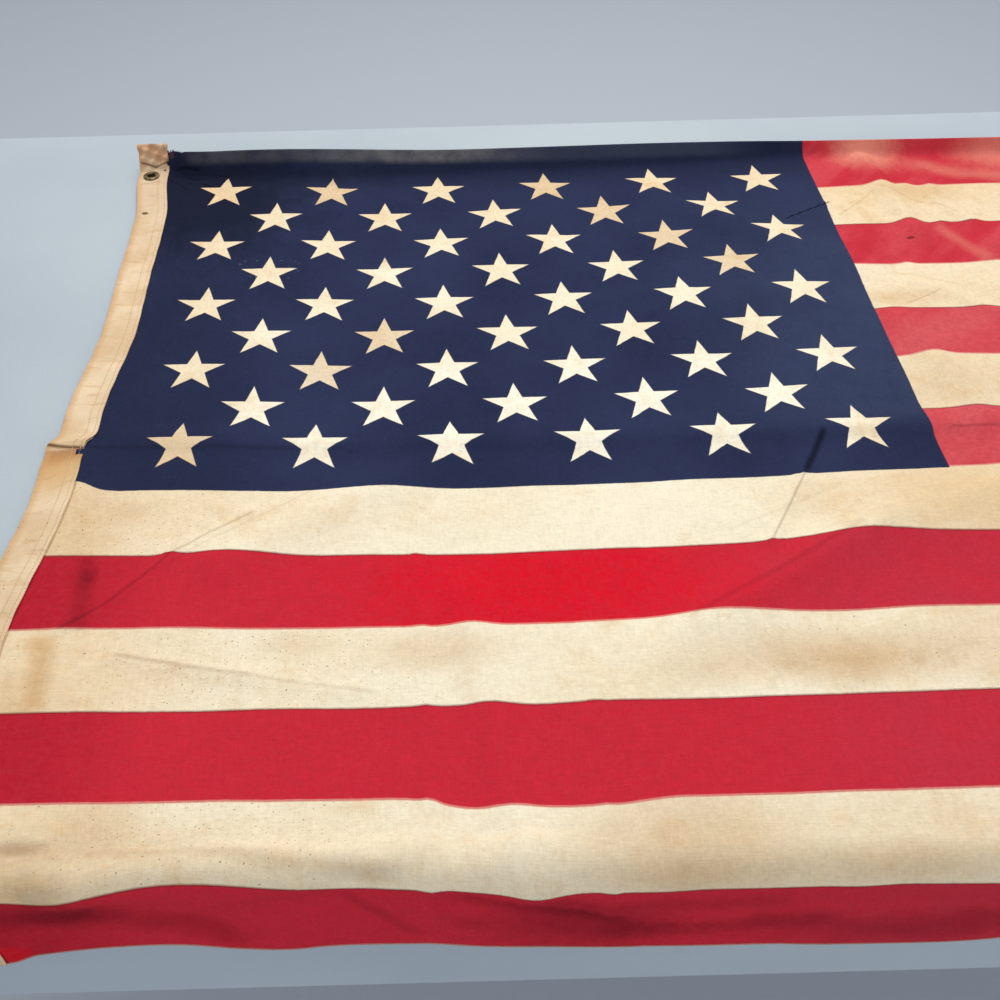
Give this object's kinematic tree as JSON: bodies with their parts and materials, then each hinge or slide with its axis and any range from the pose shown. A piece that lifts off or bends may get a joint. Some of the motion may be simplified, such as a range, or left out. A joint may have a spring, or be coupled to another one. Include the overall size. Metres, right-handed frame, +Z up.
{
  "type": "printed cotton flag draped over a table",
  "caption": "Old sun-faded printed cotton flag with a canvas heading and brass eyelets, lying over a plain table with its last stripes hanging down the front.",
  "frame": {"origin": "centre of the footprint on the floor, under the table", "axes": "+X along the flag's length towards its fly end, +Y from the front edge where the cloth hangs to the back, +Z up"},
  "size_m": [1.83, 0.9262, 0.7789],
  "materials": {
    "printed_cotton": "worn plain weave printed in red, cream and navy",
    "canvas": "coarse unbleached canvas, soiled",
    "aged_brass": "dark tarnish with worn bright edges",
    "painted_wood": "pale blue-grey satin paint"
  },
  "bodies": {
    "root": {"flag_field": "printed_cotton", "heading": "canvas", "grommet_top": "aged_brass", "grommet_bottom": "aged_brass", "table_top": "painted_wood", "apron_front": "painted_wood", "apron_back": "painted_wood", "apron_left": "painted_wood", "apron_right": "painted_wood", "leg_front_left": "painted_wood", "leg_front_right": "painted_wood", "leg_back_left": "painted_wood", "leg_back_right": "painted_wood"}
  },
  "joints": []
}
